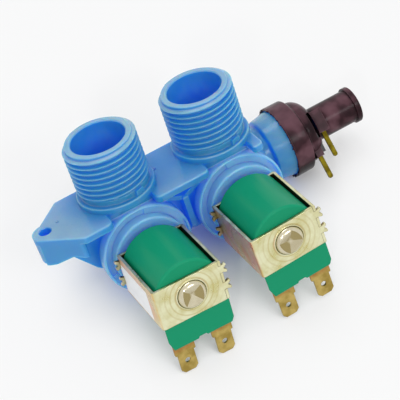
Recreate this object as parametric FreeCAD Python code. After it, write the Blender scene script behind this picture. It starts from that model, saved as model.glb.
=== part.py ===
import FreeCAD, Part
import math
import os

V = FreeCAD.Vector
os.makedirs("parts", exist_ok=True)

# Frame: millimetres, +X along the row of inlets towards the outlet, +Z along
# the inlets, the solenoids point to -Y. The origin is on the top face of the
# mounting plate, midway between the two inlet axes.

# Clearances between pieces that seat in each other
seat_gap = 0.02
slip_gap = 0.06
loose_gap = 0.15

# Cutting tools reach this far past the surface that they cut
cut_over = 1.0

# Inlet pipes and their hose thread, heights above the plate's top face
pitch = 38.4
thread_major_r = 13.45
thread_root_r = 12.2
thread_pitch = 2.209
thread_crest = 0.6
thread_flank = 0.55
thread_shoulder = 0.25
thread_low = 5.0
thread_high = 21.2
thread_lead = 0.9
thread_rise = 0.3
thread_over = 0.2
thread_in = 1.2
thread_end_z = 0.1
thread_end_r = 0.15
neck_taper_low = 1.0
neck_taper_high = 0.7
rim_z = 22.6
rim_round = 0.45
neck_r = 12.5
collar_r = 14.4
collar_h = 2.1
collar_round = 0.6
collar_skirt_in = 1.2
collar_foot_round = 0.5
lug_out = 0.9
lug_w = 3.8
lug_h = 1.9
lug_sink = 0.3
lug_draft = 0.3
lug_round = 0.4
lug_in = 0.6
front_lug_angle = -69.0
side_lug_angle = 2.0
side_lug_share = 0.65
bore_r = 9.9
bore_lead = 0.4
screen_seat_z = 5.5
washer_bore_r = 9.2
washer_seat_z = 0.6
washer_lip_r = 7.5
bore_floor_z = -4.0
stub_low = 9.8
passage_half = 5.0
passage_deep = 4.0
passage_low = 9.0
passage_over = 0.5
saddle_half = 9.5
saddle_gap = 0.2
saddle_back = 6.0
saddle_low = 6.0

# Mounting plate, its screw ear and the skirt below the ear
plate_t = 2.5
plate_round = 0.6
plate_front = -17.4
plate_mid_front = -16.6
plate_back = 11.1
plate_right_x = 31.8
plate_right_step = 0.2
ear_root_round = 2.0
left_cut_round = 2.6
middle_round_left = 1.9
middle_round_right = 2.2
right_cut_round = 1.2
right_front_round = 2.3
right_back_round = 1.5
left_back_round = 2.0
ear_tip_x = -55.2
ear_tip_y = -3.4
ear_tip_round = 3.0
ear_root_x = -39.6
cut_half = 8.7
cut_shift = -0.4
cut_back = -10.5
screw_x = -48.7
screw_y = -2.4
screw_r = 2.2
screw_lead = 0.35
screw_over = 0.05
boss_r = 4.9
boss_low = -11.4
boss_top = -0.5
boss_draft = 0.3
boss_foot = 0.05
boss_round = 0.8
skirt_t = 2.2
skirt_low = -7.7
skirt_top = -0.4
skirt_back = 0.3
skirt_lean = 1.0
skirt_corner_round = 1.4
skirt_tip_in = 1.0
skirt_tip_round = 2.2
skirt_knee_x = 1.3
skirt_knee_up = 0.6
skirt_knee_round = 2.5
skirt_notch = 4.7
skirt_notch_round = 1.0
skirt_over = 2.0
web_t = 3.6
web_top = -0.6
web_low = -26.0
gusset_in = 0.9
gusset_knee_x = 3.8
gusset_knee_drop = 1.1
gusset_slope_x = 2.6
gusset_slope_drop = 9.8
gusset_low_x = 8.1
gusset_end = 4.8

# Valve chambers, axis along Y: ring, seat of the diaphragm and its port
valve_z = -18.8
ring_front = -14.2
ring_h = 4.6
ring_round = 0.8
ring_lip_depth = 0.9
ring_lip_edge = 0.35
recess_r = 13.75
ring_wall = 3.15
ring_lip = 2.05
ledge_w = 1.35
chamber_wall = 2.8
recess_depth = 3.8
seat_rise = 6.0
seat_below_ledge = 1.2
seat_r = 5.4
port_r = 3.6
chamber_floor = 1.8
chamber_round = 1.6
seat_bevel = 0.5
lock_span = 64.0
lock_count = 2
lock_back = 0.25
lock_out = 0.3
lock_over = 0.2
left_lock_end = 78.5
right_lock_end = 98.0

# Ribs between the two chambers
rib_t = 2.0
rib_front = -12.0
rib_top = -8.3
brace_rise = 0.45
brace_t = 1.7
rib_low = -25.5
rib_round = 0.8
rib_back = 2.0
rib_slope = 4.4
brace_in = 1.0
wall_y = -7.0
wall_in = 3.5

# Manifold and outlet neck, axis along X
manifold_y = 4.7
manifold_r = 8.4
manifold_bore_r = 5.5
manifold_left = -30.0
manifold_end_wall = 5.0
manifold_round = 2.6
manifold_bore_round = 0.8
outlet_lead = 1.2
neck_x = 31.0
neck_in = 0.5
neck_round = 0.6
outlet_neck_r = 9.9
band_x = 33.2
band_w = 2.2
band_r = 11.3
band_round = 0.7
band_foot_round = 0.5
taper_x = 38.3
taper_r0 = 11.6
taper_len = 7.3
taper_round = 0.8
taper_r1 = 12.9
flange_end = 51.5
flange_round = 0.5
snap_x = 47.2
snap_w = 1.4
snap_depth = 0.5
seal_r0 = 8.6
seal_r1 = 10.8
seal_depth = 1.5
seal_slack = 0.12

# Outlet cap with its spigot, and the sensor's pocket, blades and block
cap_wall = 1.0
cap_rim_back = 0.4
cap_skirt_len = 6.6
cap_step_r = 12.0
cap_dome_len = 5.6
cap_dome_round = 5.2
cap_funnel_r = 7.6
cap_well_len = 3.4
cap_funnel_len = 8.5
tube_r = 6.25
tube_bore_r = 4.5
tube_end = 77.3
bead_w = 2.2
bead_r = 6.95
bead_round = 0.5
cap_turn = 35.1
block_x = 57.6
block_w = 4.6
block_up = 4.6
block_down = 3.9
block_out = 8.2
slot_w = 1.8
slot_reach = 6.2
foot_x = 52.9
foot_w = 2.9
foot_out = 8.0
foot_low = 11.4
sensor_w = 1.5
sensor_t = 2.4
sensor_high = 3.0
sensor_low = 10.4
blade_w = 1.7
blade_t = 0.8
blade_out = 7.0
blade_point = 0.5
upper_blade_x = 59.0
upper_blade_low = 13.8
lower_blade_x = 53.5
lower_blade_low = 20.0
blade_root = 2.7

# Solenoid: yoke, coil moulding and terminals
yoke_len = 29.0
yoke_half = 12.85
yoke_shift = -0.3
yoke_t = 1.0
yoke_bend = 0.2
yoke_up = 7.1
yoke_down = 8.8
tooth_h = 2.9
tooth_space = 4.0
tooth_high = 2.05
tooth_out = 1.7
tooth_flare = 0.6
tooth_horn_w = 1.15
tooth_split = 1.2
tooth_gap = 0.05
yoke_hole_slack = 0.12
hole_rim_w = 0.45
hole_rim_h = 0.3
left_coil_turn = 2.5
right_coil_turn = -2.0
coil_r = 12.65
coil_round = 1.0
coil_wall = 1.4
block_half = 12.4
terminal_block_low = -38.1
terminal_block_t = 4.0
terminal_block_draft = 1.1
block_notch_w = 2.6
block_notch_h = 0.7
tab_pitch = 14.6
tab_w = 6.3
tab_t = 0.8
tab_y_in = 1.85
tab_root_w = 7.9
tab_root_len = 3.9
tab_len = 8.0
tab_tip = 1.2
tab_hole_up = 4.6
tab_hole_r = 1.05
tab_inside = 6.0
bobbin_flange = 1.0
bobbin_wall = 1.05
winding_r = 10.1

# Inlet strainer and flow washer, heights above their seats
screen_hole_in = 2.6
screen_rim_t = 1.2
screen_cup_in = 1.2
screen_shoulder_h = 5.0
screen_shoulder_in = 3.6
screen_crown_r = 3.6
screen_crown_h = 6.1
screen_crown_rise = 0.1
screen_crown_t = 0.8
screen_crown_wall = 0.4
screen_wall_t = 0.5
screen_wall_in = 0.7
screen_foot_t = 0.9
screen_foot_in = 2.3
screen_windows = 8
screen_window_w = 1.8
screen_window_low = 1.6
screen_window_high = 4.2
screen_window_in = 4.0
screen_hole_r = 0.7
screen_hole_out = 2.2
screen_middle_r = 0.8
screen_drill_low = 4.0
screen_drill_high = 7.5
washer_hole_r = 2.6
washer_t = 3.2
washer_dish_r = 5.4
washer_dish_low_r = 3.6
washer_dish_t = 1.9

# Folds of the diaphragm, in from its edge and forward of its seat
fold_bead_in = 1.7
fold_root_in = 1.9
fold_back_r = 8.4
fold_back_y = 1.0
fold_flat_r = 6.2
fold_flat_front_r = 6.4
fold_front_r = 8.6
fold_front_y = 2.1
fold_lip_in = 2.2
fold_lip_y = 1.1

# Head and snap of the pilot insert
pilot_head_t = 0.9
pilot_mouth_r = 1.5
pilot_snap_low = 0.3
pilot_snap_out = 0.3
pilot_snap_high = 0.9
pilot_snap_in = 0.1
pilot_taper_y = 2.4
pilot_taper_in = 0.3

# Guide tube, armature and what seals them
hub_r = 8.8
hub_len = 2.2
bonnet_slack = 0.05
bonnet_t = 5.0
bonnet_round = 0.7
bead_t = 1.8
diaphragm_t = 1.3
tube_seat = 1.6
pilot_recess_in = 1.0
guide_r = 5.3
guide_wall = 0.38
guide_out = 2.8
guide_dome_round = 3.9
guide_flange_r = 8.0
guide_flange_t = 0.8
guide_seal_wire = 0.72
pole_len = 9.5
pole_chamfer = 0.3
armature_len = 21.6
armature_flat = 0.4
stroke = 2.3
tip_r = 1.9
tip_out = 0.4
tip_in = 2.0
pilot_nose = 3.25
pilot_stem_r = 3.0
pilot_head_r = 5.0
pilot_hole_r = 0.6
pilot_rest_gap = 0.05
spring_r = 2.0
spring_wire = 0.42
spring_turns = 7
spring_pocket = 5.4
spring_slack = 0.34

# Places that follow from the sizes above
left = -pitch / 2.0
right = pitch / 2.0
ring_r = recess_r + ring_wall
ring_lip_r = recess_r + ring_lip
cavity_r = recess_r - ledge_w
chamber_r = cavity_r + chamber_wall
bonnet_r = recess_r - bonnet_slack
pilot_recess_r = cavity_r - pilot_recess_in
ledge_y = ring_front + recess_depth
seat_y = ledge_y + seat_below_ledge
cavity_back = seat_y + seat_rise
chamber_back = cavity_back + chamber_floor
bonnet_rear = ledge_y - bead_t
bonnet_front = bonnet_rear - bonnet_t
tube_seat_y = bonnet_rear - tube_seat
yoke_rear = bonnet_front - hub_len
yoke_front = yoke_rear - yoke_len
yoke_top = valve_z + yoke_up
yoke_low = valve_z - yoke_down
guide_front = yoke_front - guide_out
guide_bore_r = guide_r - guide_wall
armature_r = guide_bore_r - slip_gap
armature_rear = seat_y - pilot_nose - pilot_rest_gap - tip_out
armature_front = armature_rear - armature_len
pole_face = armature_front - stroke
coil_front = yoke_front + yoke_t + loose_gap
coil_rear = yoke_rear - yoke_t - loose_gap
coil_left = yoke_shift - yoke_half + yoke_t + loose_gap
coil_right = yoke_shift + yoke_half - yoke_t - loose_gap
tab_y = coil_front + tab_y_in
snap_end = snap_x + snap_w
taper_end = taper_x + taper_len
cap_rim = taper_end - cap_rim_back
cap_in_r = taper_r1 + slip_gap
cap_out_r = cap_in_r + cap_wall
cap_skirt_end = cap_rim + cap_skirt_len
cap_inner_face = flange_end + 0.1
cap_dome_end = cap_skirt_end + 1.1 + cap_dome_len


def export(shape, name):
    if shape.ShapeType == "Compound" and len(shape.Solids) == 1:
        shape = shape.Solids[0]
    shape.exportStep("parts/" + name + ".step")
    print(name, "solids", len(shape.Solids), "valid", shape.isValid(),
          "volume", round(shape.Volume, 1))


def wire(points, place):
    """Closed wire through (u, v) points; a third number rounds that corner."""
    stops = []
    for i, point in enumerate(points):
        here = place(point[0], point[1])
        if len(point) < 3:
            stops.append((here, None, here))
            continue
        before = points[i - 1]
        after = points[(i + 1) % len(points)]
        back = (place(before[0], before[1]) - here).normalize()
        on = (place(after[0], after[1]) - here).normalize()
        half = back.getAngle(on) / 2.0
        reach = point[2] / math.tan(half)
        inward = (back + on).normalize()
        mid = here + inward * (point[2] / math.sin(half) - point[2])
        stops.append((here + back * reach, mid, here + on * reach))
    edges = []
    for i, (start, mid, end) in enumerate(stops):
        if mid is not None:
            edges.append(Part.Arc(start, mid, end).toShape())
        next_start = stops[(i + 1) % len(stops)][0]
        if (next_start - end).Length > 1e-6:
            edges.append(Part.makeLine(end, next_start))
    return Part.Wire(edges)


def turned(points, axis, origin):
    """Solid of revolution from (along, radius) points about an axis."""
    base = V(*origin)
    along = V(*axis)
    out = V(1, 0, 0) if axis[2] else V(0, 0, 1)
    face = Part.Face(wire(points, lambda a, r: base + along * a + out * r))
    return face.revolve(base, along, 360)


def along_y(points, cx):
    """Turned piece on the axis of one valve."""
    return turned(points, (0, 1, 0), (cx, 0, valve_z))


def along_x(points):
    """Turned piece on the axis of the manifold."""
    return turned(points, (1, 0, 0), (0, manifold_y, valve_z))


def rod(r, start, end):
    a = V(*start)
    b = V(*end)
    return Part.makeCylinder(r, (b - a).Length, a, b - a)


def box(x0, x1, y0, y1, z0, z1):
    return Part.makeBox(x1 - x0, y1 - y0, z1 - z0, V(x0, y0, z0))


def plan(points, z0, z1):
    """Piece drawn in plan, from z0 to z1."""
    return Part.Face(wire(points, lambda x, y: V(x, y, z0))).extrude(V(0, 0, z1 - z0))


def front_view(points, y0, y1):
    """Piece drawn in the XZ plane, from y0 to y1."""
    return Part.Face(wire(points, lambda x, z: V(x, y0, z))).extrude(V(0, y1 - y0, 0))


def side_view(points, x0, x1):
    """Piece drawn in the YZ plane, from x0 to x1."""
    return Part.Face(wire(points, lambda y, z: V(x0, y, z))).extrude(V(x1 - x0, 0, 0))


def hose_thread(cx):
    """One helical ridge with a rounded crest round an inlet pipe."""
    turns = (thread_high - thread_low) / thread_pitch + 1.0
    z0 = thread_low - 0.5 * thread_pitch
    helix = Part.makeHelix(thread_pitch, turns * thread_pitch, thread_root_r)
    root = thread_root_r - thread_shoulder
    half_root = thread_crest / 2.0 + thread_flank
    shoulder = thread_major_r - thread_shoulder
    half_crest = thread_crest / 2.0
    section = Part.makePolygon([
        V(root, 0, -half_root),
        V(shoulder, 0, -half_crest),
        V(thread_major_r, 0, -half_crest / 3.0),
        V(thread_major_r, 0, half_crest / 3.0),
        V(shoulder, 0, half_crest),
        V(root, 0, half_root),
        V(root, 0, -half_root),
    ])
    ridge = Part.Wire(helix).makePipeShell([section], True, True)
    ridge.translate(V(cx, 0, z0))
    # the envelope trims both ends and gives the lead-in chamfer
    inside = thread_root_r - thread_in
    outside = thread_major_r + thread_over
    envelope = turned([
        (thread_low - thread_lead, inside),
        (thread_low - thread_lead, thread_root_r),
        (thread_low + thread_rise, outside),
        (thread_high + thread_over, outside),
        (rim_z - thread_end_z, thread_root_r - thread_end_r),
        (rim_z - thread_end_z, inside),
    ], (0, 0, 1), (cx, 0, 0))
    return ridge.common(envelope)


def inlet_outside(cx):
    """Pipe stub from the chamber to the rim, with the collar on the plate."""
    skirt_r = collar_r - collar_skirt_in
    pipe = turned([
        (valve_z + stub_low, 0.0),
        (valve_z + stub_low, skirt_r),
        (0.0, skirt_r),
        (0.0, collar_r),
        (collar_h, collar_r, collar_round),
        (collar_h, neck_r, collar_foot_round),
        (thread_low - neck_taper_low, neck_r),
        (thread_low - neck_taper_high, thread_root_r),
        (rim_z, thread_root_r, rim_round),
        (rim_z, 0.0),
    ], (0, 0, 1), (cx, 0, 0))
    # small lugs on the collar stop the hose coupling
    lugs = []
    for angle, share in ((front_lug_angle, 1.0), (side_lug_angle, side_lug_share)):
        half = share * lug_w / 2.0
        top = collar_h + share * lug_h
        lug = side_view([
            (-half, collar_h - lug_sink),
            (half, collar_h - lug_sink),
            (half - lug_draft, top, lug_round),
            (-half + lug_draft, top, lug_round),
        ], neck_r - lug_in, neck_r + share * lug_out)
        lug.rotate(V(0, 0, 0), V(0, 0, 1), angle)
        lug.translate(V(cx, 0, 0))
        lugs.append(lug)
    return pipe.fuse(lugs)


def inlet_inside(cx):
    """Water way from the rim down into the chamber."""
    lead_r = bore_r + bore_lead
    bore = turned([
        (bore_floor_z, 0.0),
        (bore_floor_z, washer_lip_r),
        (washer_seat_z, washer_lip_r),
        (washer_seat_z, washer_bore_r),
        (screen_seat_z, washer_bore_r),
        (screen_seat_z, bore_r),
        (rim_z - bore_lead, bore_r),
        (rim_z, lead_r),
        (rim_z + cut_over, lead_r),
        (rim_z + cut_over, 0.0),
    ], (0, 0, 1), (cx, 0, 0))
    passage = box(cx - passage_half, cx + passage_half, cavity_back - passage_deep,
                  cavity_back, valve_z + passage_low, bore_floor_z + passage_over)
    return bore.fuse(passage)


def chamber_outside(cx):
    """Cup of one valve with the thick ring that holds the bonnet."""
    ring_back = ring_front + ring_h
    return along_y([
        (chamber_back, 0.0),
        (chamber_back, chamber_r, chamber_round),
        (ring_back, chamber_r),
        (ring_back, ring_r, ring_round / 2.0),
        (ring_front, ring_r, ring_round),
        (ring_front, 0.0),
    ], cx)


def chamber_inside(cx):
    """Recess of the bonnet, ledge of the diaphragm, cavity and valve seat."""
    front = along_y([
        (ring_front - ring_lip_edge, 0.0),
        (ring_front - ring_lip_edge, ring_lip_r + 2.0 * ring_lip_edge),
        (ring_front + ring_lip_edge, ring_lip_r),
        (ring_front + ring_lip_depth, ring_lip_r),
        (ring_front + ring_lip_depth, recess_r),
        (ledge_y, recess_r),
        (ledge_y, cavity_r),
        (cavity_back, cavity_r),
        (cavity_back, seat_r),
        (seat_y, seat_r - seat_bevel),
        (seat_y, 0.0),
    ], cx)
    port = rod(port_r, (cx, seat_y - seat_bevel, valve_z), (cx, manifold_y, valve_z))
    return front.fuse(port)


def lock_segments(cx):
    """Raised lengths beside the lip, which lock the bonnet in the ring."""
    end = left_lock_end if cx < 0 else right_lock_end
    section = Part.Face(wire([
        (recess_r + seat_gap, ring_front + lock_back),
        (ring_lip_r + lock_out, ring_front + lock_back),
        (ring_lip_r + lock_out, ring_front + ring_lip_depth + lock_over),
        (recess_r + seat_gap, ring_front + ring_lip_depth + lock_over),
    ], lambda out, y: V(cx + out, y, valve_z)))
    base = V(cx, 0, valve_z)
    # about -Y the angle runs from +X up to +Z, as seen from the solenoids
    segment = section.revolve(base, V(0, -1, 0), lock_span)
    segments = []
    for k in range(lock_count):
        copy = segment.copy()
        copy.rotate(base, V(0, -1, 0), end - lock_span + k * 360.0 / lock_count)
        segments.append(copy)
    return segments


def plate():
    """Mounting plate, cut out in front of each inlet for the valve's ring."""
    cuts = []
    for cx, front in ((left, plate_front), (right, plate_mid_front)):
        x0 = cx + cut_shift - cut_half
        x1 = cx + cut_shift + cut_half
        cuts.append((x0, x1, front))
    (a0, a1, _), (b0, b1, _) = cuts
    sheet = plan([
        (ear_tip_x, ear_tip_y, ear_tip_round),
        (ear_root_x, plate_front, ear_root_round),
        (a0, plate_front, left_cut_round),
        (a0, cut_back),
        (a1, cut_back),
        (a1, plate_mid_front, middle_round_left),
        (b0, plate_mid_front, middle_round_right),
        (b0, cut_back),
        (b1, cut_back),
        (b1, plate_front + plate_right_step, right_cut_round),
        (plate_right_x, plate_front + plate_right_step, right_front_round),
        (plate_right_x, plate_back, right_back_round),
        (ear_root_x, plate_back, left_back_round),
    ], -plate_t, 0.0)
    top_edges = []
    for edge in sheet.Edges:
        lowest = min(vertex.Point.z for vertex in edge.Vertexes)
        if lowest > -0.01:
            top_edges.append(edge)
    return sheet.makeFillet(plate_round, top_edges)


def ear_skirt():
    """Wall that hangs below the front edge of the screw ear."""
    tip = V(ear_tip_x, ear_tip_y, 0)
    root = V(ear_root_x, plate_front, 0)
    on = (root - tip).normalize()
    inward = V(-on.y, on.x, 0)
    start = tip + on * ear_tip_round
    end = root - on * skirt_back
    # the wall turns back to the chamber at the plate's front corner
    turn_x = end.x + skirt_lean - skirt_t
    inner = end + inward * skirt_t
    inner = inner - on * ((inner.x - turn_x) / on.x)
    back_y = ring_front + ring_h
    strip = plan([
        (start.x, start.y),
        (end.x, end.y, skirt_corner_round),
        (end.x + skirt_lean, back_y),
        (turn_x, back_y),
        (inner.x, inner.y),
        (start.x + inward.x * skirt_t, start.y + inward.y * skirt_t),
    ], boss_low, boss_top)
    notch_x = ear_root_x - skirt_notch
    view = front_view([
        (ear_tip_x, skirt_top),
        (ear_tip_x + skirt_tip_in, boss_low, skirt_tip_round),
        (screw_x - skirt_knee_x, boss_low + skirt_knee_up, skirt_knee_round),
        (notch_x, skirt_low, skirt_notch_round),
        (ear_root_x + skirt_over, skirt_low - skirt_over),
        (ear_root_x + skirt_over, skirt_top),
    ], plate_front - cut_over, plate_back)
    return strip.common(view)


def screw_boss():
    return turned([
        (boss_low, 0.0),
        (boss_low, boss_r - boss_draft, boss_round),
        (boss_top, boss_r + boss_foot),
        (boss_top, 0.0),
    ], (0, 0, 1), (screw_x, screw_y, 0))


def gusset():
    """Web from the screw boss to the first chamber."""
    y0 = screw_y - boss_r + gusset_in
    return front_view([
        (screw_x, web_top),
        (screw_x, boss_low),
        (ear_root_x - gusset_knee_x, boss_low - gusset_knee_drop),
        (ear_root_x + gusset_slope_x, boss_low - gusset_slope_drop),
        (ear_root_x + gusset_low_x, web_low),
        (left - gusset_end, web_low),
        (left - gusset_end, web_top),
    ], y0, y0 + web_t)


def middle_ribs():
    """Upright rib, cross wall and two braces between the chambers."""
    half = rib_t / 2.0
    rib = side_view([
        (rib_front, rib_top, rib_round),
        (wall_y, rib_top),
        (wall_y, web_top),
        (rib_back, web_top),
        (rib_back, rib_low),
        (wall_y, rib_low),
        (rib_front, rib_low + rib_slope),
    ], -half, half)
    reach = right - chamber_r + wall_in
    wall = box(-reach, reach, wall_y, wall_y + rib_t, rib_low, web_top)
    ribs = [rib, wall]
    for s in (-1, 1):
        end = pitch / 4.0
        ribs.append(front_view([
            (0.0, rib_top),
            (s * end, rib_top + brace_rise * end),
            (s * end, rib_top + brace_rise * end - brace_t),
            (0.0, rib_top - brace_t),
        ], rib_front + brace_in, wall_y + brace_in))
    return ribs


def manifold_outside():
    """Closed tube along the back, with the stepped neck for the cap."""
    return along_x([
        (manifold_left, 0.0),
        (manifold_left, manifold_r, manifold_round),
        (neck_x, manifold_r),
        (neck_x, outlet_neck_r, neck_round),
        (band_x, outlet_neck_r),
        (band_x, band_r, band_round),
        (band_x + band_w, band_r, band_round),
        (band_x + band_w, outlet_neck_r, band_foot_round),
        (taper_x, outlet_neck_r, taper_round),
        (taper_x, taper_r0, taper_round),
        (taper_end, taper_r1),
        (snap_x, taper_r1),
        (snap_x, taper_r1 - snap_depth),
        (snap_end, taper_r1 - snap_depth),
        (snap_end, taper_r1),
        (flange_end, taper_r1, flange_round),
        (flange_end, 0.0),
    ])


def manifold_inside():
    start = manifold_left + manifold_end_wall
    return along_x([
        (start, 0.0),
        (start, manifold_bore_r, manifold_bore_round),
        (flange_end - outlet_lead, manifold_bore_r),
        (flange_end + cut_over, manifold_bore_r + cut_over),
        (flange_end + cut_over, 0.0),
    ])


def valve_body():
    shapes = [ear_skirt(), screw_boss(), gusset(), manifold_outside()]
    shapes += middle_ribs()
    for cx in (left, right):
        shapes.append(inlet_outside(cx))
        shapes.append(chamber_outside(cx))
        # saddle between the inlet pipe, the plate and the chamber
        shapes.append(box(cx - saddle_half, cx + saddle_half,
                          ring_front + ring_h + saddle_gap, saddle_back,
                          valve_z + saddle_low, boss_top))
    # short necks run from the rib side to the chamber and to the outlet
    shapes.append(rod(outlet_neck_r, (right, manifold_y, valve_z),
                      (neck_x + neck_in, manifold_y, valve_z)))
    body = plate().fuse(shapes)
    cuts = [manifold_inside()]
    for cx in (left, right):
        cuts.append(inlet_inside(cx))
        cuts.append(chamber_inside(cx))
    # groove of the outlet seal in the end face
    cuts.append(along_x([
        (flange_end - seal_depth, seal_r0),
        (flange_end - seal_depth, seal_r1),
        (flange_end + cut_over, seal_r1),
        (flange_end + cut_over, seal_r0),
    ]))
    # screw hole, open right through, with a small lead at the top
    cuts.append(turned([
        (boss_low - cut_over, 0.0),
        (boss_low - cut_over, screw_r),
        (-screw_lead, screw_r),
        (screw_over, screw_r + screw_lead),
        (screw_over, 0.0),
    ], (0, 0, 1), (screw_x, screw_y, 0)))
    for tool in cuts:
        body = body.cut(tool)
    details = []
    for cx in (left, right):
        details += lock_segments(cx)
    body = body.fuse(details).removeSplitter()
    return body.fuse([hose_thread(cx) for cx in (left, right)])


def inlet_screen(cx):
    """Moulded strainer: rim, domed cup, side windows and a drilled crown."""
    seat = screen_seat_z
    shoulder = seat + screen_shoulder_h
    crown = seat + screen_crown_h
    rim = bore_r - slip_gap
    cup = turned([
        (seat, washer_bore_r - screen_hole_in),
        (seat, rim),
        (seat + screen_rim_t, rim),
        (seat + screen_rim_t, washer_bore_r - screen_cup_in),
        (shoulder, washer_bore_r - screen_shoulder_in),
        (crown, screen_crown_r),
        (crown + screen_crown_rise, 0.0),
        (crown + screen_crown_rise - screen_crown_t, 0.0),
        (crown - screen_crown_t, screen_crown_r - screen_crown_wall),
        (shoulder - screen_wall_t, washer_bore_r - screen_shoulder_in - screen_wall_in),
        (seat + screen_foot_t, washer_bore_r - screen_foot_in),
    ], (0, 0, 1), (0, 0, 0))
    drill_low = seat + screen_drill_low
    drill_high = seat + screen_drill_high
    half = screen_window_w / 2.0
    tools = [rod(screen_middle_r, (0, 0, drill_low), (0, 0, drill_high))]
    for k in range(screen_windows):
        turn = 360.0 * k / screen_windows
        window = box(washer_bore_r - screen_window_in, washer_bore_r, -half, half,
                     seat + screen_window_low, seat + screen_window_high)
        hole = rod(screen_hole_r, (screen_hole_out, 0, drill_low),
                   (screen_hole_out, 0, drill_high))
        for tool in (window, hole):
            tool.rotate(V(0, 0, 0), V(0, 0, 1), turn)
            tools.append(tool)
    for tool in tools:
        cup = cup.cut(tool)
    cup.translate(V(cx, 0, 0))
    return cup


def flow_washer(cx):
    """Soft washer with a dished top, which evens out the flow."""
    low = washer_seat_z
    edge = washer_bore_r - slip_gap
    return turned([
        (low, washer_hole_r),
        (low, edge),
        (low + washer_t, edge),
        (low + washer_t, washer_dish_r),
        (low + washer_dish_t, washer_dish_low_r),
        (low + washer_dish_t, washer_hole_r),
    ], (0, 0, 1), (cx, 0, 0))


def diaphragm(cx):
    """Rubber disc with a clamped bead, a fold and a thick middle."""
    hole_r = pilot_stem_r + seat_gap
    back = seat_y - seat_gap
    front = back - diaphragm_t
    edge = recess_r - slip_gap
    return along_y([
        (bonnet_rear + seat_gap, edge - fold_bead_in),
        (bonnet_rear + seat_gap, edge),
        (ledge_y - seat_gap, edge),
        (ledge_y - seat_gap, edge - fold_root_in),
        (seat_y - fold_back_y, fold_back_r),
        (back, fold_flat_r),
        (back, hole_r),
        (front, hole_r),
        (front, fold_flat_front_r),
        (seat_y - fold_front_y, fold_front_r),
        (ledge_y - fold_lip_y, edge - fold_lip_in),
    ], cx)


def pilot_insert(cx):
    """Rigid centre of the diaphragm with the pilot hole."""
    face = seat_y - seat_gap - diaphragm_t - seat_gap
    nose = seat_y - pilot_nose
    return along_y([
        (face - pilot_head_t, pilot_mouth_r),
        (face - pilot_head_t, pilot_head_r),
        (face, pilot_head_r),
        (face, pilot_stem_r),
        (seat_y + pilot_snap_low, pilot_stem_r),
        (seat_y + pilot_snap_low, pilot_stem_r + pilot_snap_out),
        (seat_y + pilot_snap_high, pilot_stem_r - pilot_snap_in),
        (seat_y + pilot_taper_y, pilot_stem_r - pilot_taper_in),
        (seat_y + pilot_taper_y, pilot_hole_r),
        (nose, pilot_hole_r),
        (nose, 2.0 * pilot_hole_r),
    ], cx)


def bonnet(cx):
    """Cap that clamps the diaphragm and the guide tube's flange."""
    flange_y = tube_seat_y - guide_flange_t - seat_gap
    gland_r = guide_r + 2.0 * guide_seal_wire + 0.3
    flange_r = guide_flange_r + slip_gap
    tube_hole_r = guide_r + slip_gap
    return along_y([
        (yoke_rear + seat_gap, tube_hole_r),
        (yoke_rear + seat_gap, hub_r, 0.3),
        (bonnet_front, hub_r, 0.4),
        (bonnet_front, bonnet_r, bonnet_round),
        (bonnet_rear, bonnet_r),
        (bonnet_rear, pilot_recess_r),
        (tube_seat_y, pilot_recess_r - 0.4),
        (tube_seat_y, flange_r),
        (flange_y, flange_r),
        (flange_y, gland_r),
        (flange_y - 2.0 * guide_seal_wire - 0.06, gland_r),
        (flange_y - 2.0 * guide_seal_wire - 0.06, tube_hole_r),
    ], cx)


def guide_seal(cx):
    y = tube_seat_y - guide_flange_t - guide_seal_wire - slip_gap
    return Part.makeTorus(guide_r + guide_seal_wire + slip_gap, guide_seal_wire,
                          V(cx, y, valve_z), V(0, 1, 0))


def guide_tube(cx):
    """Drawn tube with a flange at its foot and a domed, closed end."""
    flange_y = tube_seat_y - guide_flange_t
    inner_end = guide_front + guide_wall
    return along_y([
        (tube_seat_y, guide_r),
        (tube_seat_y, guide_flange_r),
        (flange_y, guide_flange_r),
        (flange_y, guide_r),
        (guide_front, guide_r, guide_dome_round),
        (guide_front, 0.0),
        (inner_end, 0.0),
        (inner_end, guide_bore_r, guide_dome_round - guide_wall),
        (flange_y, guide_bore_r),
    ], cx)


def pole_piece(cx):
    """Fixed core near the closed end of the guide tube."""
    r = guide_bore_r - seat_gap
    return along_y([
        (pole_face - pole_len, 0.0),
        (pole_face - pole_len, r),
        (pole_face - 1.0, r),
        (pole_face - 1.0, r - pole_chamfer),
        (pole_face, r - pole_chamfer),
        (pole_face, 0.0),
    ], cx)


def armature(cx):
    """Sliding core: spring pocket in front, rubber tip behind, two flats."""
    pocket_r = spring_r + spring_wire / 2.0 + spring_slack
    pocket_end = armature_front + spring_pocket
    tip_floor = armature_rear - tip_in - tip_out
    core = along_y([
        (armature_rear - tip_out, tip_r),
        (armature_rear, armature_r - 0.95),
        (armature_rear - 1.2, armature_r),
        (armature_front + 0.4, armature_r),
        (armature_front, armature_r - 0.4),
        (armature_front, pocket_r),
        (pocket_end, pocket_r),
        (pocket_end, 0.0),
        (tip_floor, 0.0),
        (tip_floor, tip_r),
    ], cx)
    for s in (-1, 1):
        z = valve_z + s * armature_r
        flat = box(cx - armature_r, cx + armature_r, armature_front - cut_over,
                   armature_rear + cut_over, z - armature_flat, z + armature_flat)
        core = core.cut(flat)
    return core


def armature_tip(cx):
    floor = armature_rear - tip_in - tip_out
    return along_y([
        (floor, 0.0),
        (floor, tip_r),
        (armature_rear - tip_out, tip_r),
        (armature_rear + tip_out, tip_r - 0.4),
        (armature_rear + tip_out, 0.0),
    ], cx)


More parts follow.
